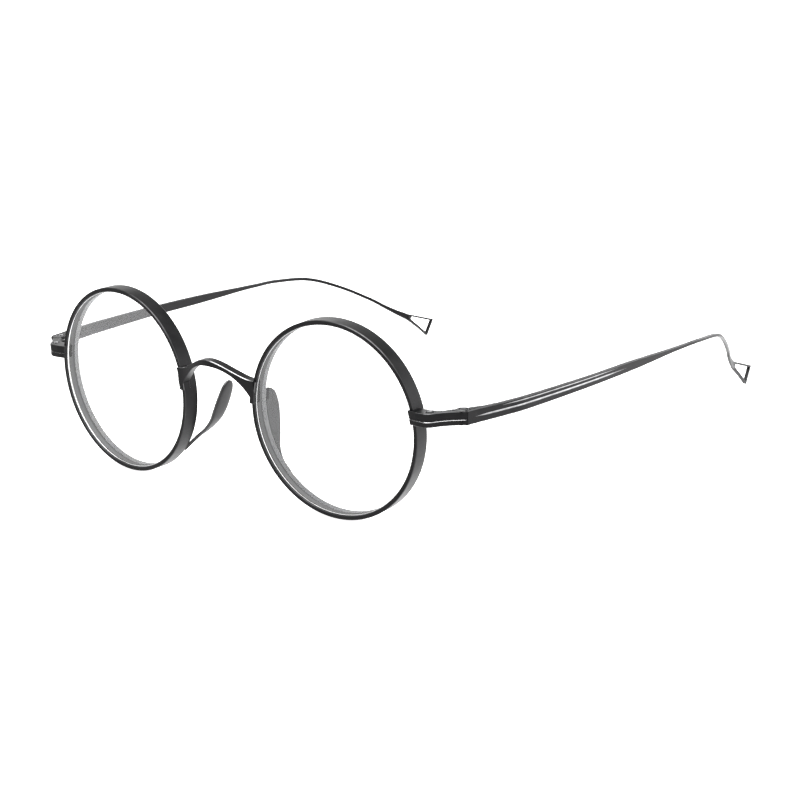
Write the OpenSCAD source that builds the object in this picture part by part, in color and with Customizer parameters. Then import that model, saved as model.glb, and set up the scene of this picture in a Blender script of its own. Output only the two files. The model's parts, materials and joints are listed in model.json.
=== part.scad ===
// Round wire eyeglasses: two full round rims joined by an arched bridge, one-piece metal nose
// pads, split end pieces with barrel hinges, and slim temples that end in an open loop.
//
// The design is drawn in the lens frame: origin midway between the lens centres on the rims'
// front plane, +X towards the wearer's left, +Y back along the temples, +Z up. stand() then
// tips the whole frame so that both rims and both temple tips touch the plane Z = 0.
// Every paired piece is drawn once, on the wearer's left, and mirrored for the right.

/* [Rims] */
// Distance between the two lens centres
lens_pitch = 66.2; // [64:0.2:70]
// Outer radius of a rim
rim_r = 22.6; // [21.6:0.2:23.6]
// Depth of a rim, front to back
rim_depth = 3.9; // [3.6:0.1:4.4]
// Wall of a rim, from its outer face to the front lip's inner edge
rim_wall = 1.05; // [0.9:0.05:1.2]
// Angle by which each rim is swept back at its temple side
rim_wrap = 3.5; // [2:0.5:5]

/* [Lenses] */
// Radius of curvature of a lens's front face
lens_curve = 260; // [200:10:400]
// Thickness of a lens at its centre
lens_t = 1.5; // [1.3:0.1:1.8]

/* [Bridge] */
// Height of the arch's top edge above the lens centres
bridge_top = 10.5; // [10.1:0.1:10.9]
// Height of the arch at its middle, top edge to bottom edge
bridge_h = 1.5; // [1.3:0.1:1.8]
// Depth of the bridge, front to back
bridge_depth = 2.2; // [1.8:0.1:2.6]
// How far the arch stands forward at its middle, from its ends
bridge_bulge = 2.4; // [1.8:0.1:2.8]

/* [Hinges] */
// Radius of the hinge barrels
barrel_r = 1.3; // [1.25:0.05:1.3]
// Radius of the hinge screw's shaft
pin_r = 0.6; // [0.5:0.05:0.65]
// Height of the whole hinge, along its screw
hinge_h = 3.1; // [3:0.1:3.4]

/* [Temples] */
// How far back the temple tips reach
temple_reach = 148; // [144:0.5:152]
// Downward slope of the temples in the lens frame
temple_slope = 1.8; // [1:0.1:3]
// Height of a temple's flat front end
temple_h = 3.1; // [3:0.1:3.3]

/* [Hidden] */
$fn = 96;
fit = 0.03;            // radial clearance of the hinge screw in what turns on it
rings_per_span = 4;
lip_r = rim_r - rim_wall;
centre_x = lens_pitch / 2;
rim_chamfer = 0.25;

// Lens groove: a V in the rim's inner wall, and the matching bevel on the lens
groove_r = lip_r + 0.5;
groove_y = 1.15;
groove_half = 0.7;
bevel_gap = 0.04;
lens_r = lip_r - 0.1;
lens_edge_y = 0.45;    // depth of the lens's front edge behind the rim's front plane

// Hinge, from its own axis: the temple's barrel runs between two thin washers
hinge_x = centre_x + 30.2;
hinge_y = 7.6;
hinge_z = 4.02;
knuckle_t = 1.1;
washer_t = 0.1;
axial_gap = 0.02;
outer_knuckle_z = knuckle_t / 2 + washer_t + 2 * axial_gap;
seat = 0.01;           // clearance of a screw in the pieces that it is screwed into
head_r = 0.95;
head_t = 0.35;
recess_t = 0.45;       // depth of the recess that hides a screw head
slot_w = 0.3;          // driver slot in a screw head
slot_t = 0.2;

// End piece, in plan from the hinge axis: the boss that laps over the rim and takes the rim
// screw, the neck, and the corner that the open temple stops against
end_rear = -1.15;
end_plan = [
    [-9.6, -7], [-7, -7.35], [-4.7, -7.3], [-3.5, -6.6], [-2.4, -4.95], [-0.8, -3.25],
    [2.05, end_rear], [-1.6, end_rear], [-2.9, -3.3], [-3.8, -3.9], [-8.6, -4.3],
];
split_z = 3.82;        // height of the gap between the two halves
split = 0.08;
upper_h = 1.73;
lower_h = 1.37;
lock_at = [-4.6, -5.54];
lock_r = 0.5;
lock_head_r = 0.85;

// Bridge: front face at its ends, and the lugs that lap over the rims
bridge_front = -1.9;
lug_proud = 0.45;      // how far a lug stands out in front of the rim
bridge_half = 11.9;
bridge_bow = 3.9;      // fall of the top edge from the crest to a rim
bridge_drop = 7.1;     // fall of the bottom edge over bridge_foot
bridge_foot = 11.2;
lug_low = 1.2;
lug_high = 6.6;
edge_cut = 0.3;        // share of a bar's lesser half width that its cut edges take

// Nose pad stations: across, back, up, width, thickness
pad_path = [
    [6.25, 9.35, 1.4, 1.4, 0.5],
    [6.4, 9.15, 1, 3.0, 0.7],
    [6.6, 8.8, 0.2, 4.1, 0.8],
    [6.9, 8.4, -1, 4.9, 0.8],
    [7.4, 7.9, -2.8, 5.4, 0.8],
    [8.2, 7.0, -5.6, 5.4, 0.8],
    [9.1, 6.2, -7.8, 4.6, 0.8],
    [10.75, 5.0, -10, 3.0, 0.8],
    [12.5, 4.1, -11.5, 1.7, 0.8],
    [14.4, 3.35, -13.3, 1.0, 0.8],
    [16.75, 3.1, -15.4, 0.9, 0.8],
];
pad_splay = 7;         // the pads open towards the face

// Temple hinge, in plan from the hinge axis: the leaf beside the barrel, and the wedge-shaped
// foot, as tall as the temple, that fills the corner behind the knuckles
leaf_plan = [[0, -1], [1.47, -1], [1.85, 1.4], [1.95, 2], [1.35, 2], [0, 1.2]];
foot_plan = [
    [0, 0.5], [1.8, 0.5], [2, 1.5], [2.45, 4.4], [3.05, 7.4], [2.8, 7.4], [2, 4.5], [0.75, 2.4],
];

// Temple stations: back, out, up, strip height, strip thickness
temple_path = [
    [6.5, 65.08, 4.02, temple_h, 0.7],
    [9, 65.5, 3.95, temple_h, 0.75],
    [12, 66.05, 3.86, temple_h, 0.95],
    [18, 67.15, 3.66, temple_h, 1.1],
    [25, 68.2, 3.44, 3.0, 1.1],
    [45, 69.7, 2.87, 2.6, 1.0],
    [62, 70.0, 2.3, 2.3, 0.95],
    [72, 70.1, 1.95, 1.75, 0.95],
    [80, 70.1, 1.67, 1.2, 0.9],
    [87, 70.05, 1.37, 0.95, 0.9],
    [95, 69.85, 0.92, 0.88, 0.9],
    [107, 68.1, -0.75, 0.88, 0.9],
    [117, 64.5, -4.8, 0.88, 0.9],
    [126, 60.75, -9.95, 0.9, 0.9],
    [130, 58.9, -12.75, 0.98, 0.87],
    [133.3, 57.5, -14.95, 1.27, 0.85],
    [136, 56.5, -16.55, 1.6, 0.85],
    [138.4, 55.75, -17.95, 1.85, 0.85],
];

// Open loop at a temple's tip: a thin plate in its own plane, from where the wire enters it
loop_at = [56.05, temple_reach - 15, -15];
loop_turn = 3.5;
loop_t = 0.85;
loop_tip = [16, -5.55];
loop_foot = [12.8, -10.1];
loop_outer = [
    [4.6, -1.6], loop_tip, loop_foot, [9.2, -7], [4.6, -3.5],
];
loop_hole = [[6.2, -2.68], [15.05, -5.78], [12.6, -9.2], [9.3, -6.35], [6.3, -3.95], [5.55, -3.2]];

// Tilt that puts the rims and the temple tips on one floor, and the middle front to back
tip_low_y = loop_at[1] + loop_foot[0] * cos(loop_turn);
tip_low_z = loop_at[2] + loop_foot[1];
stand_tilt = atan((-tip_low_z - rim_r) / (tip_low_y - rim_chamfer));
floor_z = rim_r * cos(stand_tilt) - rim_chamfer * sin(stand_tilt);
bridge_corner_z = bridge_top - edge_cut * min(bridge_h, bridge_depth) / 2;
front_y = (bridge_front - bridge_bulge) * cos(stand_tilt) - bridge_corner_z * sin(stand_tilt);
rear_lens_y = loop_at[1] + loop_tip[0] * cos(loop_turn) + loop_t / 2 * sin(loop_turn);
rear_y = rear_lens_y * cos(stand_tilt) - (loop_at[2] + loop_tip[1]) * sin(stand_tilt);
middle_y = (front_y + rear_y) / 2;

// ---------- frames ----------

// Stands the lens frame on the floor, centred front to back
module stand() {
    translate([0, -middle_y, floor_z]) rotate([stand_tilt, 0, 0]) children();
}

// side 1 is the wearer's left, side -1 the right
module on_side(side) {
    stand() mirror([side < 0 ? 1 : 0, 0, 0]) children();
}

// Left rim's own frame: its axis is local Z, which runs front to back
module rim_frame() {
    translate([centre_x, 0, 0]) rotate([0, 0, rim_wrap]) rotate([-90, 0, 0]) children();
}

// Left hinge's own frame: its axis is local Z
module hinge_frame() {
    translate([hinge_x, hinge_y, hinge_z]) rotate([-temple_slope, 0, 0]) children();
}

// Left end piece's own frame: level, on the hinge axis at the gap between its halves
module end_frame() {
    translate([hinge_x, hinge_y, split_z]) children();
}

// The room that the left rim and its lens opening take, cut from what is brazed to the rim
module rim_room() {
    rim_frame() {
        cylinder(r = rim_r, h = rim_depth);
        translate([0, 0, -5]) cylinder(r = lip_r, h = 5.5);
    }
}

// ---------- swept solids ----------

function unit(v) = v / norm(v);

// Point at t between p[i] and p[i + 1] on a Catmull-Rom curve through the rows of p
function along(p, i, t) =
    let (n = len(p) - 1,
         a = p[max(i - 1, 0)], b = p[i], c = p[min(i + 1, n)], d = p[min(i + 2, n)])
    0.5 * (2 * b + (c - a) * t + (2 * a - 5 * b + 4 * c - d) * t * t
        + (3 * b - a - 3 * c + d) * t * t * t);

function smooth(p, steps) = [
    for (i = [0:len(p) - 2], k = [0:steps - 1]) along(p, i, k / steps),
    p[len(p) - 1]
];

// Chamfered rectangle, half sizes a and b, in the plane of unit vectors u and v
function ring(centre, u, v, a, b) =
    let (c = edge_cut * min(a, b))
    [for (q = [[a, b - c], [a - c, b], [c - a, b], [-a, b - c],
               [-a, c - b], [c - a, -b], [a - c, -b], [a, c - b]])
        centre + u * q[0] + v * q[1]];

// Closed solid through a list of rings with 8 points each
module loft(rings) {
    m = 8;
    last = len(rings) - 1;
    polyhedron(
        points = [for (r = rings) each r],
        faces = concat(
            [[for (k = [0:m - 1]) k]],
            [for (i = [0:last - 1], k = [0:m - 1])
                let (a = i * m + k, b = i * m + (k + 1) % m)
                each [[a, a + m, b + m], [a, b + m, b]]],
            [[for (k = [m - 1:-1:0]) last * m + k]]),
        convexity = 6);
}

// ---------- rims and lenses ----------

module rim() {
    back = rim_depth;
    difference() {
        rim_frame() rotate_extrude() polygon([
            [lip_r, 0.15], [lip_r + 0.15, 0],
            [rim_r - rim_chamfer, 0], [rim_r, rim_chamfer],
            [rim_r, back - 0.35], [rim_r - 0.35, back],
            [lip_r + 0.2, back], [lip_r, back - 0.2],
            [lip_r, groove_y + groove_half], [groove_r, groove_y], [lip_r, groove_y - groove_half],
        ]);
        end_frame() translate([-11, -9, -split / 2]) cube([5, 9, split]);
    }
}

function sag(radius, r) = radius - sqrt(radius * radius - r * r);

module lens() {
    steps = 8;
    front = lens_edge_y - sag(lens_curve, lens_r);
    apex_r = groove_r - bevel_gap;
    bevel = (apex_r - lens_r) * groove_half / (groove_r - lip_r);
    rim_frame() rotate_extrude() polygon(concat(
        [for (i = [0:steps]) let (r = lens_r * i / steps) [r, front + sag(lens_curve, r)]],
        [[lens_r, groove_y - bevel], [apex_r, groove_y], [lens_r, groove_y + bevel]],
        [for (i = [steps:-1:0]) let (r = lens_r * i / steps)
            [r, front + lens_t + sag(lens_curve - lens_t, r)]]));
}

// ---------- bridge ----------

function bridge_upper(x) = bridge_top - bridge_bow * (1 - cos(180 * x / bridge_half)) / 2;
function bridge_lower(x) = bridge_top - bridge_h - bridge_drop * pow(abs(x) / bridge_foot, 2.2);

function bridge_face(x) = bridge_front - bridge_bulge * (1 + cos(180 * x / bridge_half)) / 2;

function bridge_ring(x) =
    let (upper = bridge_upper(x), lower = bridge_lower(x))
    ring([x, bridge_face(x) + bridge_depth / 2, (upper + lower) / 2],
        [0, 1, 0], [0, 0, 1], bridge_depth / 2, (upper - lower) / 2);

// Thin lug that laps over the left rim's front face and round to its outer face
module bridge_lug() {
    intersection() {
        rim_frame() translate([0, 0, -lug_proud]) difference() {
            cylinder(r = rim_r + 0.3, h = lug_proud + 2);
            translate([0, 0, -1]) cylinder(r = lip_r, h = lug_proud + 4);
        }
        translate([0, -5, lug_low]) cube([centre_x - 10, 10, lug_high - lug_low]);
    }
}

module bridge() {
    color(titanium) stand() difference() {
        union() {
            loft([for (i = [-12:12]) bridge_ring(bridge_half * i / 12)]);
            for (m = [0, 1]) mirror([m, 0, 0]) bridge_lug();
        }
        for (m = [0, 1]) mirror([m, 0, 0]) rim_room();
    }
}

// ---------- nose pads ----------

function pad_ring(path, i) =
    let (p = path[i], before = path[max(i - 1, 0)], after = path[min(i + 1, len(path) - 1)],
         run = unit([for (k = [0:2]) after[k] - before[k]]),
         wide = [sin(pad_splay), cos(pad_splay), 0],
         across = unit(wide - run * (wide * run)))
    ring([p[0], p[1], p[2]], across, cross(run, across), p[3] / 2, p[4] / 2);

module nose_pad() {
    path = smooth(pad_path, 3);
    difference() {
        loft([for (i = [0:len(path) - 1]) pad_ring(path, i)]);
        rim_room();
    }
}

// ---------- end pieces ----------

// One half of the end piece: upper with half = 1, lower with half = -1
module end_piece(half) {
    turn = half < 0 ? 1 : 0;
    height = half < 0 ? lower_h : upper_h;
    difference() {
        end_frame() mirror([0, 0, turn]) translate([0, 0, split / 2])
            linear_extrude(height - split / 2) polygon(end_plan);
        rim_room();
        // room for the temple's barrel
        hinge_frame() cylinder(r = barrel_r + 0.2, h = 2 * outer_knuckle_z, center = true);
        hinge_frame() cylinder(r = pin_r + seat, h = 2 * hinge_h, center = true);
        end_frame() translate(lock_at) screw_hole(half, lock_r, lock_head_r, upper_h);
    }
    hinge_frame() difference() {
        mirror([0, 0, turn]) translate([0, 0, outer_knuckle_z])
            linear_extrude(hinge_h / 2 - outer_knuckle_z) knuckle_plan();
        screw_hole(half, pin_r, head_r, hinge_h / 2);
    }
}

// Hinge knuckle with the web that joins it to the end piece
module knuckle_plan() {
    circle(barrel_r);
    translate([-barrel_r, end_rear - 1]) square([2 * barrel_r, 1 - end_rear]);
}

// Hole for a screw, with the recess for its head in the upper half; top is the upper face
module screw_hole(half, r, head, top) {
    cylinder(r = r + seat, h = 2 * top + 2, center = true);
    if (half > 0) {
        translate([0, 0, top - recess_t]) cylinder(r = head + 0.05, h = 2);
    }
}

// ---------- screws and washers ----------

// Screw that reaches from bottom up to a head recessed below top
module screw(r, head, bottom, top) {
    under_head = top - recess_t;
    translate([0, 0, bottom]) cylinder(r = r, h = under_head - bottom);
    difference() {
        translate([0, 0, under_head]) cylinder(r = head, h = head_t);
        translate([0, 0, under_head + head_t]) cube([3 * head, slot_w, 2 * slot_t], center = true);
    }
}

module rim_screw() {
    end_frame() translate(lock_at) screw(lock_r, lock_head_r, -lower_h, upper_h);
}

module hinge_screw() {
    hinge_frame() screw(pin_r, head_r, -hinge_h / 2, hinge_h / 2);
}

module washer(half) {
    hinge_frame() translate([0, 0, half * (outer_knuckle_z - washer_t / 2)]) difference() {
        cylinder(r = barrel_r - 0.05, h = washer_t, center = true);
        cylinder(r = pin_r + fit, h = 1, center = true);
    }
}

// ---------- temples ----------

// Barrel that turns on the hinge screw, with the leaf and foot that are brazed to the temple
module temple_hinge() {
    hinge_frame() difference() {
        union() {
            cylinder(r = barrel_r, h = knuckle_t, center = true);
            linear_extrude(knuckle_t, center = true) polygon(leaf_plan);
            linear_extrude(temple_h, center = true) difference() {
                polygon(foot_plan);
                circle(barrel_r + 0.12);
            }
        }
        cylinder(r = pin_r + fit, h = 3, center = true);
    }
}

function temple_ring(path, i) =
    let (p = path[i], before = path[max(i - 1, 0)], after = path[min(i + 1, len(path) - 1)],
         run = unit([after[1] - before[1], after[0] - before[0], after[2] - before[2]]),
         out = unit(cross(run, [0, 0, 1])))
    ring([p[1], p[0], p[2]], out, cross(run, out), p[4] / 2, p[3] / 2);

module temple() {
    path = smooth(temple_path, rings_per_span);
    loft([for (i = [0:len(path) - 1]) temple_ring(path, i)]);
    translate(loop_at) rotate([0, 0, loop_turn]) rotate([90, 0, 90])
        linear_extrude(loop_t, center = true) difference() {
            polygon(loop_outer);
            polygon(loop_hole);
        }
}

// ---------- nodes ----------

titanium = [0.20, 0.20, 0.21];
screw_steel = [0.42, 0.42, 0.44];
washer_white = [0.75, 0.75, 0.74];
lens_clear = [0.82, 0.88, 0.92, 0.35];

module left_rim() { color(titanium) on_side(1) rim(); }
module right_rim() { color(titanium) on_side(-1) rim(); }
module left_lens() { color(lens_clear) on_side(1) lens(); }
module right_lens() { color(lens_clear) on_side(-1) lens(); }
module left_nose_pad() { color(titanium) on_side(1) nose_pad(); }
module right_nose_pad() { color(titanium) on_side(-1) nose_pad(); }
module left_upper_end_piece() { color(titanium) on_side(1) end_piece(1); }
module right_upper_end_piece() { color(titanium) on_side(-1) end_piece(1); }
module left_lower_end_piece() { color(titanium) on_side(1) end_piece(-1); }
module right_lower_end_piece() { color(titanium) on_side(-1) end_piece(-1); }
module left_rim_screw() { color(screw_steel) on_side(1) rim_screw(); }
module right_rim_screw() { color(screw_steel) on_side(-1) rim_screw(); }
module left_hinge_screw() { color(screw_steel) on_side(1) hinge_screw(); }
module right_hinge_screw() { color(screw_steel) on_side(-1) hinge_screw(); }
module left_upper_washer() { color(washer_white) on_side(1) washer(1); }
module right_upper_washer() { color(washer_white) on_side(-1) washer(1); }
module left_lower_washer() { color(washer_white) on_side(1) washer(-1); }
module right_lower_washer() { color(washer_white) on_side(-1) washer(-1); }
module left_temple_hinge() { color(titanium) on_side(1) temple_hinge(); }
module right_temple_hinge() { color(titanium) on_side(-1) temple_hinge(); }
module left_temple() { color(titanium) on_side(1) temple(); }
module right_temple() { color(titanium) on_side(-1) temple(); }

left_rim();
right_rim();
left_lens();
right_lens();
bridge();
left_nose_pad();
right_nose_pad();
left_upper_end_piece();
right_upper_end_piece();
left_lower_end_piece();
right_lower_end_piece();
left_rim_screw();
right_rim_screw();
left_hinge_screw();
right_hinge_screw();
left_upper_washer();
right_upper_washer();
left_lower_washer();
right_lower_washer();
left_temple_hinge();
right_temple_hinge();
left_temple();
right_temple();
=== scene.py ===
"""Round wire eyeglasses: the finished look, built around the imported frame.

Shapes are drawn in millimetres in the lens frame: origin midway between the lens centres on
the rims' front plane, +X towards the wearer's left, +Y back along the temples, +Z up. Each
paired piece is drawn once, on the wearer's left, and mirrored. TO_ROW then takes a shape to
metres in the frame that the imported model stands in.
"""

import math

import bmesh
import bpy
from mathutils import Matrix, Quaternion, Vector
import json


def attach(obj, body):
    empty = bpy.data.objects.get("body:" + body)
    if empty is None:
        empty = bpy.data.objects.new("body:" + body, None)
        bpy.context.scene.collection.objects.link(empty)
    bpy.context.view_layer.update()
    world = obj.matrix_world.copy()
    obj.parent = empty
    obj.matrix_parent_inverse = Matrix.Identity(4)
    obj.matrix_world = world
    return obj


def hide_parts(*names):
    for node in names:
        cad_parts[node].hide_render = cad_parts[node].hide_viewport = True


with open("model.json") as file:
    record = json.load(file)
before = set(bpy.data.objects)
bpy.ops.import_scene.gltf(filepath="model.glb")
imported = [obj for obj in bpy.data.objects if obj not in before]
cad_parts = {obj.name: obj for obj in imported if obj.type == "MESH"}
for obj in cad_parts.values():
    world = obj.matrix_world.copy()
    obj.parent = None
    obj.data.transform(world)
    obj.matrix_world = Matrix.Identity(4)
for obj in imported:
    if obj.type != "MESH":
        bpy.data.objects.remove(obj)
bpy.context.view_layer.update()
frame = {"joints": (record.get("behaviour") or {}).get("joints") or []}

# ---------- dimensions, mm ----------

LENS_PITCH = 66.2
CENTRE_X = LENS_PITCH / 2
RIM_R = 22.6
RIM_DEPTH = 3.9
RIM_WALL = 1.05
LIP_R = RIM_R - RIM_WALL
RIM_WRAP = 3.5
GROOVE_R = LIP_R + 0.5
GROOVE_Y = 1.15
GROOVE_HALF = 0.7

LENS_CURVE = 260
LENS_T = 1.5
LENS_EDGE_Y = 0.45
BEVEL_GAP = 0.04

BRIDGE_TOP = 10.5
BRIDGE_H = 1.5
BRIDGE_DEPTH = 2.2
BRIDGE_FRONT = -1.9
BRIDGE_BULGE = 2.4
BRIDGE_HALF = 11.9
BRIDGE_BOW = 3.9
BRIDGE_DROP = 7.1
BRIDGE_FOOT = 11.2
LUG_PROUD = 0.45
LUG_WRAP = 0.3
LUG_LOW = 1.2
LUG_HIGH = 6.6

HINGE = Vector((CENTRE_X + 30.2, 7.6, 4.02))
BARREL_R = 1.3
PIN_R = 0.6
HINGE_H = 3.1
KNUCKLE_T = 1.1
WASHER_T = 0.1
AXIAL_GAP = 0.02
OUTER_KNUCKLE_Z = KNUCKLE_T / 2 + WASHER_T + 2 * AXIAL_GAP
HEAD_R = 0.95
HEAD_T = 0.35
RECESS_T = 0.45
SLOT_W = 0.3
SLOT_T = 0.2

SPLIT_Z = 3.82
SPLIT = 0.08
UPPER_H = 1.73
LOWER_H = 1.37
END_REAR = -1.15
LOCK_AT = Vector((-4.6, -5.54))
LOCK_R = 0.5
LOCK_HEAD_R = 0.85

TEMPLE_SLOPE = 1.8
TEMPLE_H = 3.1
PAD_SPLAY = 7
LOOP_AT = Vector((56.05, 133, -15))
LOOP_TURN = 3.5
LOOP_T = 0.85

# End piece in plan from the hinge axis: x, y and the radius of each corner
END_PLAN = [
    (-9.6, -7, 0.3), (-7, -7.35, 1.5), (-4.7, -7.3, 1.2), (-3.5, -6.6, 1), (-2.4, -4.95, 1),
    (-0.8, -3.25, 1), (2.05, END_REAR, 0.03), (-1.6, END_REAR, 0.2), (-2.9, -3.3, 1),
    (-3.8, -3.9, 0.5), (-8.6, -4.3, 0.3),
]

# Nose pad stations: across, back, up, width, thickness
PAD_PATH = [
    (6.25, 9.35, 1.4, 1.4, 0.5), (6.4, 9.15, 1, 3.0, 0.7), (6.6, 8.8, 0.2, 4.1, 0.8),
    (6.9, 8.4, -1, 4.9, 0.8), (7.4, 7.9, -2.8, 5.4, 0.8), (8.2, 7.0, -5.6, 5.4, 0.8),
    (9.1, 6.2, -7.8, 4.6, 0.8), (10.75, 5.0, -10, 3.0, 0.8), (12.5, 4.1, -11.5, 1.7, 0.8),
    (14.4, 3.35, -13.3, 1.0, 0.8), (16.75, 3.1, -15.4, 0.9, 0.8),
]

# Temple stations: back, out, up, strip height, strip thickness
TEMPLE_PATH = [
    (6.5, 65.08, 4.02, TEMPLE_H, 0.7), (9, 65.5, 3.95, TEMPLE_H, 0.75),
    (12, 66.05, 3.86, TEMPLE_H, 0.95), (18, 67.15, 3.66, TEMPLE_H, 1.1),
    (25, 68.2, 3.44, 3.0, 1.1), (45, 69.7, 2.87, 2.6, 1.0), (62, 70.0, 2.3, 2.3, 0.95),
    (72, 70.1, 1.95, 1.75, 0.95), (80, 70.1, 1.67, 1.2, 0.9), (87, 70.05, 1.37, 0.95, 0.9),
    (95, 69.85, 0.92, 0.88, 0.9), (107, 68.1, -0.75, 0.88, 0.9), (117, 64.5, -4.8, 0.88, 0.9),
    (126, 60.75, -9.95, 0.9, 0.9), (130, 58.9, -12.75, 0.98, 0.87),
    (133.3, 57.5, -14.95, 1.27, 0.85), (136, 56.5, -16.55, 1.6, 0.85),
    (138.4, 55.75, -17.95, 1.85, 0.85),
]

# Lines engraved along a temple's outer face: height as a share of the strip's half height,
# half width, depth, and where along the temple the line starts, is full, and ends
GROOVES = [
    (-0.02, 0.17, 0.13, 8.5, 12, 60),
    (0.74, 0.09, 0.07, 16, 20, 56),
]

# Loop at a temple's tip, in its own plane: x, y and the radius of each corner
LOOP_OUTER = [
    (4.6, -1.6, 0.1), (16, -5.55, 0.2), (12.8, -10.1, 0.2), (9.2, -7, 8), (4.6, -3.5, 0.1),
]
LOOP_HOLE = [
    (6.2, -2.68, 0.4), (15.05, -5.78, 0.15), (12.6, -9.2, 0.15), (9.3, -6.35, 8),
    (6.3, -3.95, 0.6), (5.55, -3.2, 0.5),
]

# ---------- frames ----------

fold = next(j for j in frame["joints"] if j["name"] == "left_fold")
TILT = math.radians(TEMPLE_SLOPE) - math.atan2(fold["axis"][1], fold["axis"][2])
TO_ROW = (
    Matrix.Translation(fold["pos_m"])
    @ Matrix.Rotation(TILT, 4, "X")
    @ Matrix.Scale(0.001, 4)
    @ Matrix.Translation(-HINGE)
)


def rim_point(r, angle, depth):
    """Point of the left rim: angle from +X towards +Z, depth behind the rim's front plane."""
    flat = Vector((r * math.cos(angle), depth, r * math.sin(angle)))
    return Matrix.Rotation(math.radians(RIM_WRAP), 3, "Z") @ flat + Vector((CENTRE_X, 0, 0))


def hinge_point(p):
    """Point given from the left hinge's own axis, which leans back with the temple."""
    return Matrix.Rotation(math.radians(-TEMPLE_SLOPE), 3, "X") @ Vector(p) + HINGE


def end_point(p):
    """Point given from the hinge axis, level with the gap between the end piece's halves."""
    return Vector(p) + Vector((HINGE.x, HINGE.y, SPLIT_Z))


def loop_point(p):
    """Point given in the plane of the left temple's loop: along, up, across."""
    flat = Vector((p[2], p[0], p[1]))
    return Matrix.Rotation(math.radians(LOOP_TURN), 3, "Z") @ flat + LOOP_AT


# ---------- solids ----------


def solid():
    bm = bmesh.new()
    # Face attribute: share of light grey polished colour on metal, partly polished edges and partly
    # painted highlight; on a lens, the number of its material, with a painted glow or painted
    # shade.
    bm.faces.layers.float.new("polish_and_painted_light")
    return bm


def skin(bm, rings, shine=lambda i, k: 0.0, joined=False):
    """Joins rings of points with faces, and closes the two ends unless they are joined."""
    layer = bm.faces.layers.float["polish_and_painted_light"]
    loops = [[bm.verts.new(p) for p in ring] for ring in rings]
    count = len(rings[0])
    made = []
    for i in range(len(loops) if joined else len(loops) - 1):
        a, b = loops[i], loops[(i + 1) % len(loops)]
        for k in range(count):
            n = (k + 1) % count
            face = bm.faces.new((a[k], a[n], b[n], b[k]))
            face[layer] = shine(i, k)
            made.append(face)
    if not joined:
        made.append(bm.faces.new(loops[0][::-1]))
        made.append(bm.faces.new(loops[-1]))
    bmesh.ops.recalc_face_normals(bm, faces=made)
    return bm


def turned(profile, at, hollow=False, steps=96, shine=lambda i: 0.0):
    """Solid of revolution through (radius, height) points; at places radius, angle, height."""
    angles = [2 * math.pi * k / steps for k in range(steps)]
    rings = [[at(r, a, z) for a in angles] for r, z in profile]
    return skin(solid(), rings, lambda i, k: shine(i), joined=hollow)


def about(place):
    """Places a turned solid whose axis is the Z of place."""
    return lambda r, a, z: place((r * math.cos(a), r * math.sin(a), z))


def rounded(corners, steps=5):
    """Outline with each corner (x, y, radius) rounded."""
    points = []
    count = len(corners)
    for i, (x, y, r) in enumerate(corners):
        here = Vector((x, y))
        back = Vector(corners[i - 1][:2]) - here
        on = Vector(corners[(i + 1) % count][:2]) - here
        half = back.angle(on) / 2
        reach = min(r / math.tan(half), 0.45 * back.length, 0.45 * on.length)
        a, b = here + back.normalized() * reach, here + on.normalized() * reach
        for s in range(steps + 1):
            t = s / steps
            points.append(a * (1 - t) ** 2 + here * 2 * t * (1 - t) + b * t * t)
    return points


def grown(outline, by):
    """The outline moved outwards by a distance; it runs anticlockwise."""
    moved = []
    count = len(outline)
    for i, p in enumerate(outline):
        into = (p - outline[i - 1]).normalized()
        out = (outline[(i + 1) % count] - p).normalized()
        normal = Vector((into.y + out.y, -into.x - out.x)).normalized()
        share = max(0.5, normal.dot(Vector((into.y, -into.x))))
        moved.append(p + normal * by / share)
    return moved


def anticlockwise(outline):
    area = sum(a.cross(b) for a, b in zip(outline, outline[1:] + outline[:1]))
    return outline if area > 0 else outline[::-1]


def prism(outline, levels, place, shine=lambda i, k: 0.0):
    """Upright solid on an outline; levels are (height, how far the outline is moved out)."""
    outline = anticlockwise(outline)
    rings = [[place((*p, z)) for p in grown(outline, by)] for z, by in levels]
    return skin(solid(), rings, shine)


def bevelled(low, high, low_edge, high_edge):
    """Levels of a prism whose lower and upper edges are cut off at 45 degrees."""
    return [(low, -low_edge), (low + low_edge, 0), (high - high_edge, 0), (high, -high_edge)]


def boolean(bm, tool, operation="DIFFERENCE"):
    """Cuts a second solid from the first, or unites them, and gives back the result."""
    pair = []
    for part in (bm, tool):
        mesh = bpy.data.meshes.new("part")
        part.to_mesh(mesh)
        part.free()
        pair.append(bpy.data.objects.new("part", mesh))
        bpy.context.scene.collection.objects.link(pair[-1])
    cut = pair[0].modifiers.new("cut", "BOOLEAN")
    cut.operation = operation
    cut.solver = "MANIFOLD"
    cut.object = pair[1]
    result = bmesh.new()
    result.from_object(pair[0], bpy.context.evaluated_depsgraph_get())
    for obj in pair:
        mesh = obj.data
        bpy.data.objects.remove(obj)
        bpy.data.meshes.remove(mesh)
    return result


def along(rows, steps):
    """Rows on a Catmull-Rom curve through the given rows."""
    rows = [Vector(r) for r in rows]
    last = len(rows) - 1
    curve = []
    for i in range(last):
        a, b, c, d = rows[max(i - 1, 0)], rows[i], rows[i + 1], rows[min(i + 2, last)]
        for s in range(steps):
            t = s / steps
            curve.append(0.5 * (2 * b + (c - a) * t + (2 * a - 5 * b + 4 * c - d) * t * t
                                + (3 * b - a - 3 * c + d) * t * t * t))
    return curve + [rows[last]]


def travel(points, i):
    """Direction of a path at one of its points."""
    return (points[min(i + 1, len(points) - 1)] - points[max(i - 1, 0)]).normalized()


# ---------- rims and lenses ----------


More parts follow.
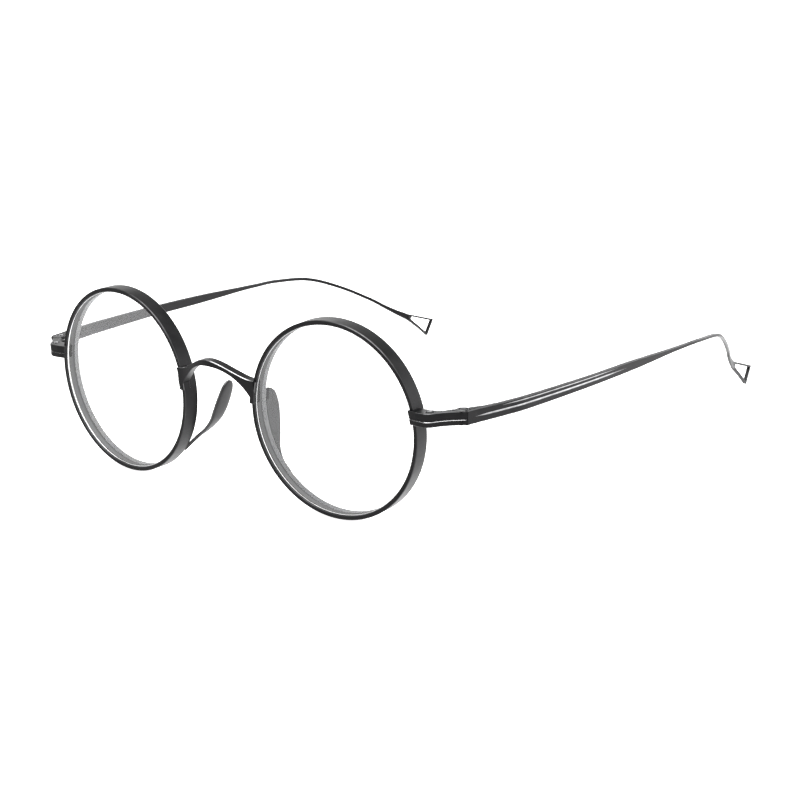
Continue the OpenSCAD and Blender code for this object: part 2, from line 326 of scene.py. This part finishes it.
def rim_profile():
    """Rim section as (radius, depth, share of polished colour and painted highlight on the face
    that follows).
    """
    front, rear = 0.14, 0.3
    return [
        (LIP_R, 0.18, 0.1), (LIP_R + 0.05, 0.05, 0.1), (LIP_R + 0.18, 0, 0),
        (RIM_R - front, 0, 0.12), (RIM_R, front, 0),
        (RIM_R, RIM_DEPTH - rear, 0.2), (RIM_R - 0.09, RIM_DEPTH - 0.09, 0.2),
        (RIM_R - rear, RIM_DEPTH, 0), (LIP_R + 0.2, RIM_DEPTH, 0),
        (LIP_R + 0.06, RIM_DEPTH - 0.06, 0), (LIP_R, RIM_DEPTH - 0.2, 0),
        (LIP_R, GROOVE_Y + GROOVE_HALF, 0), (GROOVE_R, GROOVE_Y, 0),
        (LIP_R, GROOVE_Y - GROOVE_HALF, 0),
    ]


def rim():
    """One bar bent into a ring, its ends a hair apart inside the split end piece."""
    steps = 216
    middle = (LIP_R + RIM_R) / 2
    start = math.asin(SPLIT_Z / middle)
    half_gap = SPLIT / 2 / middle
    profile = rim_profile()
    rings = []
    for i in range(steps + 1):
        angle = start + half_gap + (2 * math.pi - 2 * half_gap) * i / steps
        rings.append([rim_point(r, angle, y) for r, y, _ in profile])
    return skin(solid(), rings, lambda i, k: profile[k][2])


def sag(radius, r):
    return radius - math.sqrt(radius * radius - r * r)


def lens():
    """Meniscus lens with a V bevel that sits in the rim's groove.

    The value in the face attribute is the number of their material: surfaces, front of the
    bevel with its painted glow, back of the bevel painted dark as shade.
    """
    steps = 14
    rim_edge = LIP_R - 0.1
    front = LENS_EDGE_Y - sag(LENS_CURVE, rim_edge)
    apex = GROOVE_R - BEVEL_GAP
    bevel = (apex - rim_edge) * GROOVE_HALF / (GROOVE_R - LIP_R)
    radii = [rim_edge * i / steps for i in range(1, steps + 1)]
    profile = [(r, front + sag(LENS_CURVE, r)) for r in radii]
    profile += [(rim_edge, GROOVE_Y - bevel), (apex, GROOVE_Y), (rim_edge, GROOVE_Y + bevel)]
    rear = front + LENS_T
    profile += [(r, rear + sag(LENS_CURVE - LENS_T, r)) for r in reversed(radii)]
    # Material numbers of the edge bands: 1 for the painted glow at the front, 2 for the painted
    # shade at the back.
    edge_glow_and_shade = {steps - 1: 1.0, steps: 1.0, steps + 1: 2.0, steps + 2: 2.0}
    return turned(profile, rim_point, steps=144, shine=lambda i: edge_glow_and_shade.get(i, 0.0))


# ---------- bridge ----------


def bridge_section(x):
    """Ring of the arch at x, which stands furthest forward at its middle; its edges are cut."""
    upper = BRIDGE_TOP - BRIDGE_BOW * (1 - math.cos(math.pi * x / BRIDGE_HALF)) / 2
    lower = BRIDGE_TOP - BRIDGE_H - BRIDGE_DROP * (abs(x) / BRIDGE_FOOT) ** 2.2
    front = BRIDGE_FRONT - BRIDGE_BULGE * (1 + math.cos(math.pi * x / BRIDGE_HALF)) / 2
    back = front + BRIDGE_DEPTH
    wide, thin = 0.13, 0.12
    return [
        Vector((x, y, z)) for y, z in (
            (front, lower + thin), (front, upper - wide), (front + wide, upper),
            (back - thin, upper), (back, upper - thin), (back, lower + thin),
            (back - thin, lower), (front + thin, lower),
        )
    ]


def bridge_lug():
    """Plate that laps over the left rim's front and round to its outer face."""
    inner, outer = LIP_R + 0.02, RIM_R + LUG_WRAP
    cut = 0.14
    # Third values: share of light grey on the lug's cut edges, partly polished metal, partly
    # painted highlight.
    profile = [
        (inner, 0.02, 0), (inner, cut - LUG_PROUD, 0.4), (inner + cut, -LUG_PROUD, 0),
        (outer - cut, -LUG_PROUD, 0.4), (outer, cut - LUG_PROUD, 0), (outer, 1.45, 0.3),
        (outer - cut, 1.45 + cut, 0), (RIM_R - 0.05, 1.45 + cut, 0), (RIM_R - 0.05, 0.02, 0),
    ]
    first, last = (math.pi - math.asin(h / RIM_R) for h in (LUG_HIGH, LUG_LOW))
    steps = 16
    rings = []
    for i in range(steps + 1):
        angle = first + (last - first) * i / steps
        rings.append([rim_point(r, angle, y) for r, y, _ in profile])
    return skin(solid(), rings, lambda i, k: profile[k][2])


def rim_room():
    """What the left rim and its lens opening take up."""
    profile = [(LIP_R, -5), (LIP_R, -0.01), (RIM_R - 0.02, -0.01), (RIM_R - 0.02, 5)]
    return turned(profile, rim_point, steps=144)


def flipped(bm):
    """The same solid on the wearer's right."""
    bmesh.ops.scale(bm, vec=(-1, 1, 1), verts=bm.verts)
    bmesh.ops.reverse_faces(bm, faces=bm.faces)
    return bm


def bridge():
    count = 44
    stations = [BRIDGE_HALF * (2 * i / count - 1) for i in range(count + 1)]
    # Light grey on the cut edges, brightest on the front top edge: partly polished metal, partly
    # painted highlight.
    shine = (0, 0.6, 0, 0.2, 0, 0.1, 0, 0.1)
    arch = skin(solid(), [bridge_section(x) for x in stations], lambda i, k: shine[k])
    for turn in (lambda bm: bm, flipped):
        arch = boolean(arch, turn(rim_room()))
    for turn in (lambda bm: bm, flipped):
        arch = boolean(arch, turn(bridge_lug()), "UNION")
    return arch


# ---------- nose pads ----------


def nose_pad():
    """Thin leaf that narrows into the arm which is brazed to the rim."""
    rows = along(PAD_PATH, 5)
    spine = [Vector(r[:3]) for r in rows]
    splay = math.radians(PAD_SPLAY)
    wide = Vector((math.sin(splay), math.cos(splay), 0))
    sides = 20
    rings = []
    for i, row in enumerate(rows):
        run = travel(spine, i)
        across = (wide - run * wide.dot(run)).normalized()
        through = run.cross(across)
        ring = []
        for k in range(sides):
            a = 2 * math.pi * k / sides
            c, s = math.cos(a), math.sin(a)
            u = row[3] / 2 * math.copysign(abs(c) ** 0.8, c)
            v = row[4] / 2 * math.copysign(abs(s) ** 0.6, s)
            ring.append(spine[i] + across * u + through * v)
        rings.append(ring)
    # Light grey on the leaf's two edges: partly polished metal, partly painted highlight.
    return skin(solid(), rings, lambda i, k: 0.25 if k % (sides // 2) in (0, sides // 2 - 1) else 0)


# ---------- end pieces ----------


def knuckle(low, high):
    """Hinge barrel of the end piece, with the web that joins it to the corner."""
    cut = 0.12
    profile = [
        (BARREL_R - cut, low), (BARREL_R, low + cut), (BARREL_R, high - cut),
        (BARREL_R - cut, high),
    ]
    # Light grey on the barrel's cut edges: partly polished metal, partly painted highlight.
    barrel = turned(profile, about(hinge_point), steps=64, shine=lambda i: 0.4 * (i != 1))
    web = rounded([
        (-BARREL_R + 0.02, END_REAR - 1, 0.05), (BARREL_R - 0.02, END_REAR - 1, 0.05),
        (BARREL_R - 0.02, 0, 0.05), (-BARREL_R + 0.02, 0, 0.05),
    ], 1)
    return boolean(barrel, prism(web, [(low + 0.03, 0), (high - 0.03, 0)], hinge_point), "UNION")


def screw_hole(head, place, top, low):
    """Recess for a screw head, over the hole for its shaft."""
    rim_cut = 0.1
    profile = [
        (head - 0.2, low), (head - 0.2, top - RECESS_T), (head + 0.06, top - RECESS_T),
        (head + 0.06, top - rim_cut), (head + 0.06 + 2 * rim_cut, top + rim_cut),
    ]
    # Light grey on the recess's cut rim: partly polished metal, partly painted highlight.
    return turned(profile, about(place), steps=48, shine=lambda i: 0.5 * (i == 3))


def lock_point(p):
    """Point given from the rim screw's axis, level with the gap."""
    return end_point((p[0] + LOCK_AT.x, p[1] + LOCK_AT.y, p[2]))


def end_piece(half):
    """Upper half with half = 1, lower half with half = -1."""
    outline = rounded(END_PLAN)
    if half > 0:
        levels = bevelled(SPLIT / 2, UPPER_H, 0.05, 0.1)
        # Faint light grey on the upper half's top cut edge: partly polished metal, partly painted
        # highlight.
        shine = (0, 0, 0.15)
        low, high = OUTER_KNUCKLE_Z, HINGE_H / 2
    else:
        levels = bevelled(-LOWER_H, -SPLIT / 2, 0.18, 0.17)
        # Bright light grey on the lower half's top cut edge, under the gap: partly polished metal,
        # partly painted highlight.
        shine = (0.3, 0, 0.75)
        low, high = -HINGE_H / 2, -OUTER_KNUCKLE_Z
    bm = prism(outline, levels, end_point, lambda i, k: shine[i])
    bm = boolean(bm, rim_room())
    clearance = BARREL_R + 0.2
    room = [(clearance, -OUTER_KNUCKLE_Z), (clearance, OUTER_KNUCKLE_Z)]
    bm = boolean(bm, turned(room, about(hinge_point), steps=64))
    bm = boolean(bm, knuckle(low, high), "UNION")
    if half > 0:
        bm = boolean(bm, screw_hole(LOCK_HEAD_R, lock_point, UPPER_H, 0))
        bm = boolean(bm, screw_hole(HEAD_R, hinge_point, HINGE_H / 2, OUTER_KNUCKLE_Z - 0.5))
    return bm


# ---------- screws and washers ----------


def screw(r, head, bottom, top, place):
    """Pan head with a driver slot, on a shaft with a rounded end."""
    under = top - RECESS_T
    dome = 0.1
    profile = [
        (r - 0.12, bottom), (r, bottom + 0.12), (r, under), (head, under + 0.02),
        (head, under + HEAD_T - dome), (head - 0.04, under + HEAD_T - 0.03),
        (head - dome, under + HEAD_T),
    ]
    bm = turned(profile, about(place), steps=48)
    slot = [Vector((x, y)) for x, y in (
        (-2 * head, -SLOT_W / 2), (2 * head, -SLOT_W / 2),
        (2 * head, SLOT_W / 2), (-2 * head, SLOT_W / 2),
    )]
    turn = math.radians(35)
    slot = [Vector((p.x * math.cos(turn) - p.y * math.sin(turn),
                    p.x * math.sin(turn) + p.y * math.cos(turn))) for p in slot]
    floor_of_slot = under + HEAD_T - SLOT_T
    return boolean(bm, prism(slot, [(floor_of_slot, -0.03), (under + HEAD_T + 0.1, 0.04)], place))


def rim_screw():
    return screw(LOCK_R, LOCK_HEAD_R, -LOWER_H, UPPER_H, lock_point)


def hinge_screw():
    return screw(PIN_R, HEAD_R, -HINGE_H / 2, HINGE_H / 2, hinge_point)


def washer(half):
    middle = half * (OUTER_KNUCKLE_Z - WASHER_T / 2)
    low, high = middle - WASHER_T / 2, middle + WASHER_T / 2
    outer, inner, cut = BARREL_R - 0.05, PIN_R + 0.03, 0.02
    profile = [
        (inner, low), (outer - cut, low), (outer, low + cut), (outer, high - cut),
        (outer - cut, high), (inner, high),
    ]
    return turned(profile, about(hinge_point), hollow=True, steps=64)


# ---------- temples ----------


def temple_hinge():
    """Barrel on the hinge screw, the leaf beside it, and the foot brazed inside the temple."""
    half = KNUCKLE_T / 2
    cut = 0.1
    profile = [
        (PIN_R + 0.03, -half), (BARREL_R - cut, -half), (BARREL_R, cut - half),
        (BARREL_R, half - cut), (BARREL_R - cut, half), (PIN_R + 0.03, half),
    ]
    # Light grey on the barrel's cut edges: partly polished metal, partly painted highlight.
    shine = (0, 0.4, 0, 0.4, 0, 0)
    barrel = turned(profile, about(hinge_point), True, 64, lambda i: shine[i])
    leaf = rounded([
        (0.9, -0.3, 0.05), (1.47, -1, 0.1), (1.85, 1.4, 0.2), (1.95, 2, 0.05),
        (1.35, 2, 0.05), (0.6, 1.2, 0.3),
    ], 3)
    foot = rounded([
        (0, 0.5, 0.1), (1.8, 0.5, 0.05), (2, 1.5, 1), (2.45, 4.4, 1), (3.05, 7.4, 0.1),
        (2.8, 7.4, 0.1), (2, 4.5, 2), (0.75, 2.4, 1),
    ], 4)
    blade = prism(leaf, bevelled(-half, half, 0.05, 0.05), hinge_point)
    barrel = boolean(barrel, blade, "UNION")
    wedge = prism(foot, bevelled(-TEMPLE_H / 2, TEMPLE_H / 2, 0.1, 0.1), hinge_point)
    swing = [(BARREL_R + 0.12, -TEMPLE_H), (BARREL_R + 0.12, TEMPLE_H)]
    wedge = boolean(wedge, turned(swing, about(hinge_point), steps=64))
    return boolean(barrel, wedge, "UNION")


def groove_share(groove, y):
    """How fully an engraved line is cut at a place along the temple, from 0 to 1."""
    start, full, end = groove[3:]
    rise = (y - start) / (full - start)
    fall = (end - y) / (0.15 * (end - start))
    return max(0.0, min(1.0, rise, fall))


def temple_section(a, b, y):
    """Strip section of half thickness a and half height b as (out, up, share of polished colour and
    painted highlight on the face that follows).
    """
    cut = 0.36 * min(a, b)
    points = [(a, cut - b, 0)]
    for groove in GROOVES:
        share = groove_share(groove, y)
        middle = groove[0] * (b - cut)
        half, deep = 0.02 + groove[1] * share, groove[2] * share
        # Engraved lines painted light grey: partly a polished cut, partly painted highlight.
        shine = share ** 0.5
        points += [
            (a, middle - half, shine), (a - deep, middle - 0.6 * half, shine),
            (a - deep, middle + 0.6 * half, shine), (a, middle + half, 0),
        ]
    points += [
        (a, b - cut, 0.35), (a - cut, b, 0), (cut - a, b, 0.2), (-a, b - cut, 0),
        (-a, cut - b, 0.2), (cut - a, -b, 0), (a - cut, -b, 0.2),
    ]
    return points


def temple_loop():
    """Plate at the tip, with its open hole."""
    edge = 0.05
    # Faint light grey on the plate's cut edges: partly polished metal, partly painted highlight.
    plate = prism(rounded(LOOP_OUTER), bevelled(-LOOP_T / 2, LOOP_T / 2, edge, edge), loop_point,
                  lambda i, k: 0.05 * (i != 1))
    far = LOOP_T / 2 + 0.1
    near = LOOP_T / 2 - edge
    levels = [(-far, 0.1 + edge), (-near, 0), (near, 0), (far, 0.1 + edge)]
    return boolean(plate, prism(rounded(LOOP_HOLE), levels, loop_point))


def temple():
    """Flat strip that thins into a wire, bends down behind the ear and ends in the loop."""
    rows = along(TEMPLE_PATH, 12)
    spine = [Vector((r[1], r[0], r[2])) for r in rows]
    rings, shine = [], []
    for i, row in enumerate(rows):
        run = travel(spine, i)
        out = run.cross(Vector((0, 0, 1))).normalized()
        up = out.cross(run)
        section = temple_section(row[4] / 2, row[3] / 2, row[0])
        rings.append([spine[i] + out * u + up * v for u, v, _ in section])
        shine.append([s for _, _, s in section])
    bm = skin(solid(), rings, lambda i, k: shine[i][k])
    return boolean(bm, temple_loop(), "UNION")


# ---------- materials ----------


class Nodes:
    """Short-hand for building one material's nodes."""

    def __init__(self, name):
        self.material = bpy.data.materials.new(name)
        self.material.use_nodes = True
        self.tree = self.material.node_tree
        self.tree.nodes.clear()
        self.output = self.add("ShaderNodeOutputMaterial")
        self.place = self.add("ShaderNodeTexCoord").outputs["Object"]

    def add(self, kind, **settings):
        node = self.tree.nodes.new(kind)
        for key, value in settings.items():
            setattr(node, key, value)
        return node

    def link(self, source, target):
        self.tree.links.new(source, target)

    def noise(self, size, detail=3.0, stretch=(1, 1, 1)):
        """Noise whose features are about size metres across."""
        scaled = self.add("ShaderNodeMapping")
        scaled.inputs["Scale"].default_value = stretch
        self.link(self.place, scaled.inputs["Vector"])
        node = self.add("ShaderNodeTexNoise")
        node.inputs["Scale"].default_value = 1 / size
        node.inputs["Detail"].default_value = detail
        self.link(scaled.outputs["Vector"], node.inputs["Vector"])
        return node.outputs["Fac"]

    def spread(self, value, low, high, start=0.3, end=0.7):
        """Maps a texture value to the range low to high."""
        node = self.add("ShaderNodeMapRange")
        node.inputs["From Min"].default_value = start
        node.inputs["From Max"].default_value = end
        node.inputs["To Min"].default_value = low
        node.inputs["To Max"].default_value = high
        self.link(value, node.inputs["Value"])
        return node.outputs["Result"]

    def blend(self, factor, a, b):
        """Mixes two colours, or colour outputs, by a factor."""
        node = self.add("ShaderNodeMix", data_type="RGBA")
        self.link(factor, node.inputs["Factor"])
        for key, colour in ((6, a), (7, b)):
            if isinstance(colour, tuple):
                node.inputs[key].default_value = (*colour, 1)
            else:
                self.link(colour, node.inputs[key])
        return node.outputs[2]

    def maths(self, operation, a, b):
        node = self.add("ShaderNodeMath", operation=operation)
        for slot, value in zip(node.inputs, (a, b)):
            if isinstance(value, (int, float)):
                slot.default_value = value
            else:
                self.link(value, slot)
        return node.outputs[0]

    def bump(self, height, strength, depth):
        node = self.add("ShaderNodeBump")
        node.inputs["Strength"].default_value = strength
        node.inputs["Distance"].default_value = depth
        self.link(height, node.inputs["Height"])
        return node.outputs["Normal"]

    def face_value(self, name):
        return self.add("ShaderNodeAttribute", attribute_name=name).outputs["Fac"]

    def principled(self, **sockets):
        node = self.add("ShaderNodeBsdfPrincipled")
        for key, value in sockets.items():
            slot = node.inputs[key.replace("_", " ")]
            if hasattr(value, "is_linked"):
                self.link(value, slot)
            else:
                slot.default_value = value
        return node.outputs["BSDF"]

    def finish(self, shader):
        self.link(shader, self.output.inputs["Surface"])
        return self.material


def titanium():
    """Satin black plating on titanium, light grey and glossier where faces carry a value in the
    face attribute: partly polished bare metal, partly painted highlight.
    """
    n = Nodes("black_titanium")
    grain = n.noise(0.00009, 2)
    cloud = n.noise(0.0045, 4)
    drawn = n.noise(0.0003, 3, (1, 0.06, 1))
    # Patchy breakup of the light grey edges: partly wear, partly painted highlight.
    wear_and_highlight_breakup = n.spread(n.noise(0.0018, 5), 0.65, 1.0)
    shine = n.maths("MULTIPLY", n.face_value("polish_and_painted_light"), wear_and_highlight_breakup)
    plating = n.blend(n.spread(cloud, 0, 1), (0.024, 0.024, 0.025), (0.036, 0.035, 0.036))
    plating = n.blend(n.spread(grain, 0, 0.25), plating, (0.06, 0.06, 0.062))
    # Light grey on faces that carry the face attribute: partly polished bare metal, partly painted
    # highlight.
    colour = n.blend(shine, plating, (0.62, 0.62, 0.63))
    satin = n.spread(cloud, 0.34, 0.44)
    satin = n.maths("ADD", satin, n.spread(drawn, -0.03, 0.03))
    roughness = n.maths("SUBTRACT", satin, n.maths("MULTIPLY", shine, 0.2))
    normal = n.bump(grain, 0.25, 0.00001)
    return n.finish(n.principled(
        Base_Color=colour, Metallic=1.0, Roughness=roughness, Normal=normal))


def screw_steel():
    """Screw steel, brushed, coloured near black as painted shade of the recesses that the heads sit
    in.
    """
    n = Nodes("screw_steel")
    brushed = n.noise(0.00012, 3, (1, 0.12, 1))
    cloud = n.noise(0.0008, 3)
    # Near black: painted shade of the screw recesses.
    colour = n.blend(n.spread(brushed, 0, 1), (0.012, 0.012, 0.013), (0.04, 0.04, 0.042))
    roughness = n.maths("ADD", n.spread(cloud, 0.22, 0.34), n.spread(brushed, 0, 0.06))
    return n.finish(n.principled(
        Base_Color=colour, Metallic=1.0, Roughness=roughness,
        Normal=n.bump(brushed, 0.3, 0.00001)))


def washer_plastic():
    """Milky nylon of the thin hinge washers."""
    n = Nodes("washer_nylon")
    cloud = n.noise(0.0006, 3)
    colour = n.blend(n.spread(cloud, 0, 1), (0.42, 0.42, 0.41), (0.55, 0.55, 0.53))
    return n.finish(n.principled(
        Base_Color=colour, Roughness=n.spread(cloud, 0.45, 0.6),
        Normal=n.bump(cloud, 0.2, 0.00001)))


def lens_glass():
    """Clear coated lens: see-through, with a reflection that grows at a shallow angle."""
    n = Nodes("lens_glass")
    facing = n.add("ShaderNodeLayerWeight")
    facing.inputs["Blend"].default_value = 0.5
    smear = n.noise(0.006, 4)
    clear = n.add("ShaderNodeBsdfTransparent")
    gloss = n.add("ShaderNodeBsdfGlossy")
    n.link(n.blend(n.spread(smear, 0, 1), (0.96, 0.97, 1.0), (1.0, 1.0, 0.99)),
           gloss.inputs["Color"])
    n.link(n.spread(smear, 0.0, 0.012), gloss.inputs["Roughness"])
    mix = n.add("ShaderNodeMixShader")
    n.link(n.spread(facing.outputs["Facing"], 0.05, 0.34, 0, 1), mix.inputs["Fac"])
    n.link(clear.outputs["BSDF"], mix.inputs[1])
    n.link(gloss.outputs["BSDF"], mix.inputs[2])
    return n.finish(mix.outputs["Shader"])


def lens_edge(name, dark, light, glow):
    """Ground edge of a lens, frosted, with an emission that paints a glow where it gathers light
    from the front; with dark colours and no emission it paints shade.
    """
    n = Nodes(name)
    grind = n.noise(0.00012, 3)
    colour = n.blend(n.spread(grind, 0, 1), dark, light)
    return n.finish(n.principled(
        Base_Color=colour, Roughness=n.spread(grind, 0.5, 0.7),
        Emission_Color=(1, 1, 1, 1), Emission_Strength=glow, Normal=n.bump(grind, 0.3, 0.00001)))


# ---------- pieces ----------


def install(bm, node, body, materials):
    """Turns a solid into the piece that stands for a CAD node."""
    for face in bm.faces:
        face.smooth = True
    mesh = bpy.data.meshes.new(f"{node}_piece")
    bm.to_mesh(mesh)
    bm.free()
    mesh.transform(TO_ROW)
    mesh.set_sharp_from_angle(angle=math.radians(32))
    for material in materials:
        mesh.materials.append(material)
    piece = bpy.data.objects.new(f"{node}_piece", mesh)
    bpy.context.scene.collection.objects.link(piece)
    normals = piece.modifiers.new("normals", "WEIGHTED_NORMAL")
    normals.keep_sharp = True
    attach(piece, body)
    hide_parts(node)
    return piece


METAL = [titanium()]
STEEL = [screw_steel()]
NYLON = [washer_plastic()]
GLASS = [
    lens_glass(),
    # Front of the bevel: frosted white with a painted glow; back of the bevel: painted dark as
    # shade.
    lens_edge("lens_edge_front_painted_glow", (0.86, 0.87, 0.88), (0.97, 0.97, 0.97), 0.45),
    lens_edge("lens_edge_back_painted_shade", (0.05, 0.05, 0.05), (0.08, 0.08, 0.08), 0.0),
]

# Name of each paired node: how it is drawn, material slot, materials, and whether it folds
PAIRED = {
    "rim": (rim, "titanium", METAL, False),
    "lens": (lens, "lens", GLASS, False),
    "nose_pad": (nose_pad, "titanium", METAL, False),
    "upper_end_piece": (lambda: end_piece(1), "titanium", METAL, False),
    "lower_end_piece": (lambda: end_piece(-1), "titanium", METAL, False),
    "rim_screw": (rim_screw, "screw", STEEL, False),
    "hinge_screw": (hinge_screw, "screw", STEEL, False),
    "upper_washer": (lambda: washer(1), "washer", NYLON, False),
    "lower_washer": (lambda: washer(-1), "washer", NYLON, False),
    "temple_hinge": (temple_hinge, "titanium", METAL, True),
    "temple": (temple, "titanium", METAL, True),
}

install(bridge(), "bridge", "front", METAL)
for name, (draw, slot_name, finish, folds) in PAIRED.items():
    for side in ("left", "right"):
        shape = draw() if side == "left" else flipped(draw())
        if name == "lens":
            layer = shape.faces.layers.float["polish_and_painted_light"]
            for face in shape.faces:
                face.material_index = round(face[layer])
        install(shape, f"{side}_{name}", f"{side}_temple" if folds else "front", finish)

# ---------- floor, light and camera ----------


def floor_white():
    """Lit white table."""
    n = Nodes("table_white")
    mottle = n.noise(0.4, 2)
    colour = n.blend(n.spread(mottle, 0, 1), (0.93, 0.93, 0.93), (0.96, 0.96, 0.96))
    return n.finish(n.principled(
        Base_Color=colour, Roughness=0.9, Emission_Color=(1, 1, 1, 1), Emission_Strength=0.95))


def floor():
    bm = bmesh.new()
    bmesh.ops.create_circle(bm, cap_ends=True, segments=96, radius=9)
    mesh = bpy.data.meshes.new("table")
    bm.to_mesh(mesh)
    bm.free()
    mesh.materials.append(floor_white())
    table = bpy.data.objects.new("table", mesh)
    table.location.z = -0.0005
    bpy.context.scene.collection.objects.link(table)
    table.visible_glossy = False


def area_light(name, azimuth, elevation, distance, size, power):
    """Soft light aimed at the glasses; azimuth is measured from the front towards +X."""
    a, e = math.radians(azimuth), math.radians(elevation)
    away = Vector((math.sin(a) * math.cos(e), -math.cos(a) * math.cos(e), math.sin(e)))
    light = bpy.data.lights.new(name, "AREA")
    light.shape = "DISK"
    light.size = size
    light.energy = power
    lamp = bpy.data.objects.new(name, light)
    lamp.location = away * distance
    lamp.rotation_euler = away.to_track_quat("Z", "Y").to_euler()
    lamp.visible_camera = False
    bpy.context.scene.collection.objects.link(lamp)


# Brightness of the surround along an axis of the view: axis, start, end, and the factor at each
SURROUND = [
    ("Y", 0.1, 0.9, 0.75, 2.0),
    ("Z", 0.2, 0.6, 1.0, 0.25),
    ("Z", -0.7, -0.3, 1.3, 1.0),
]


def surround():
    """Soft surround: brightest at the back, dark overhead, a little brighter below."""
    world = bpy.data.worlds.new("studio")
    world.use_nodes = True
    nodes, links = world.node_tree.nodes, world.node_tree.links
    nodes["Background"].inputs["Color"].default_value = (1, 1, 1, 1)
    direction = nodes.new("ShaderNodeTexCoord")
    split = nodes.new("ShaderNodeSeparateXYZ")
    links.new(direction.outputs["Generated"], split.inputs[0])
    factors = []
    for axis, *values in SURROUND:
        ramp = nodes.new("ShaderNodeMapRange")
        ramp.interpolation_type = "SMOOTHSTEP"
        for key, value in zip(("From Min", "From Max", "To Min", "To Max"), values):
            ramp.inputs[key].default_value = value
        links.new(split.outputs[axis], ramp.inputs["Value"])
        factors.append(ramp.outputs["Result"])
    strength = factors[0]
    for factor in factors[1:]:
        both = nodes.new("ShaderNodeMath")
        both.operation = "MULTIPLY"
        links.new(strength, both.inputs[0])
        links.new(factor, both.inputs[1])
        strength = both.outputs[0]
    links.new(strength, nodes["Background"].inputs["Strength"])
    bpy.context.scene.world = world


def studio():
    surround()
    area_light("overhead", 20, 80, 1.0, 1.3, 14)
    area_light("front", 0, 50, 1.2, 0.8, 6)
    area_light("side", 95, 32, 1.3, 0.7, 5)


def camera():
    """Camera in the lens frame: where it stands about the origin, then how it is turned."""
    azimuth, elevation, distance = math.radians(45.195), math.radians(16.115), 416.3
    back = Vector((
        math.sin(azimuth) * math.cos(elevation), -math.cos(azimuth) * math.cos(elevation),
        math.sin(elevation)))
    right = Vector((math.cos(azimuth), math.sin(azimuth), 0))
    up = back.cross(right)
    place = back * distance
    for turn, axis in ((-5.593, "up"), (-0.430, "right"), (-4.339, "back")):
        spin = Quaternion({"up": up, "right": right, "back": back}[axis], math.radians(turn))
        right, up, back = spin @ right, spin @ up, spin @ back
    data = bpy.data.cameras.new("camera")
    data.lens = 81.46
    data.sensor_width = 36
    eye = bpy.data.objects.new("camera", data)
    turned_by = TO_ROW.to_3x3().normalized()
    pose = (turned_by @ Matrix((right, up, back)).transposed()).to_4x4()
    pose.translation = TO_ROW @ place
    eye.matrix_world = pose
    bpy.context.scene.collection.objects.link(eye)
    bpy.context.scene.camera = eye


floor()
studio()
camera()
bpy.context.scene.view_settings.view_transform = "Standard"
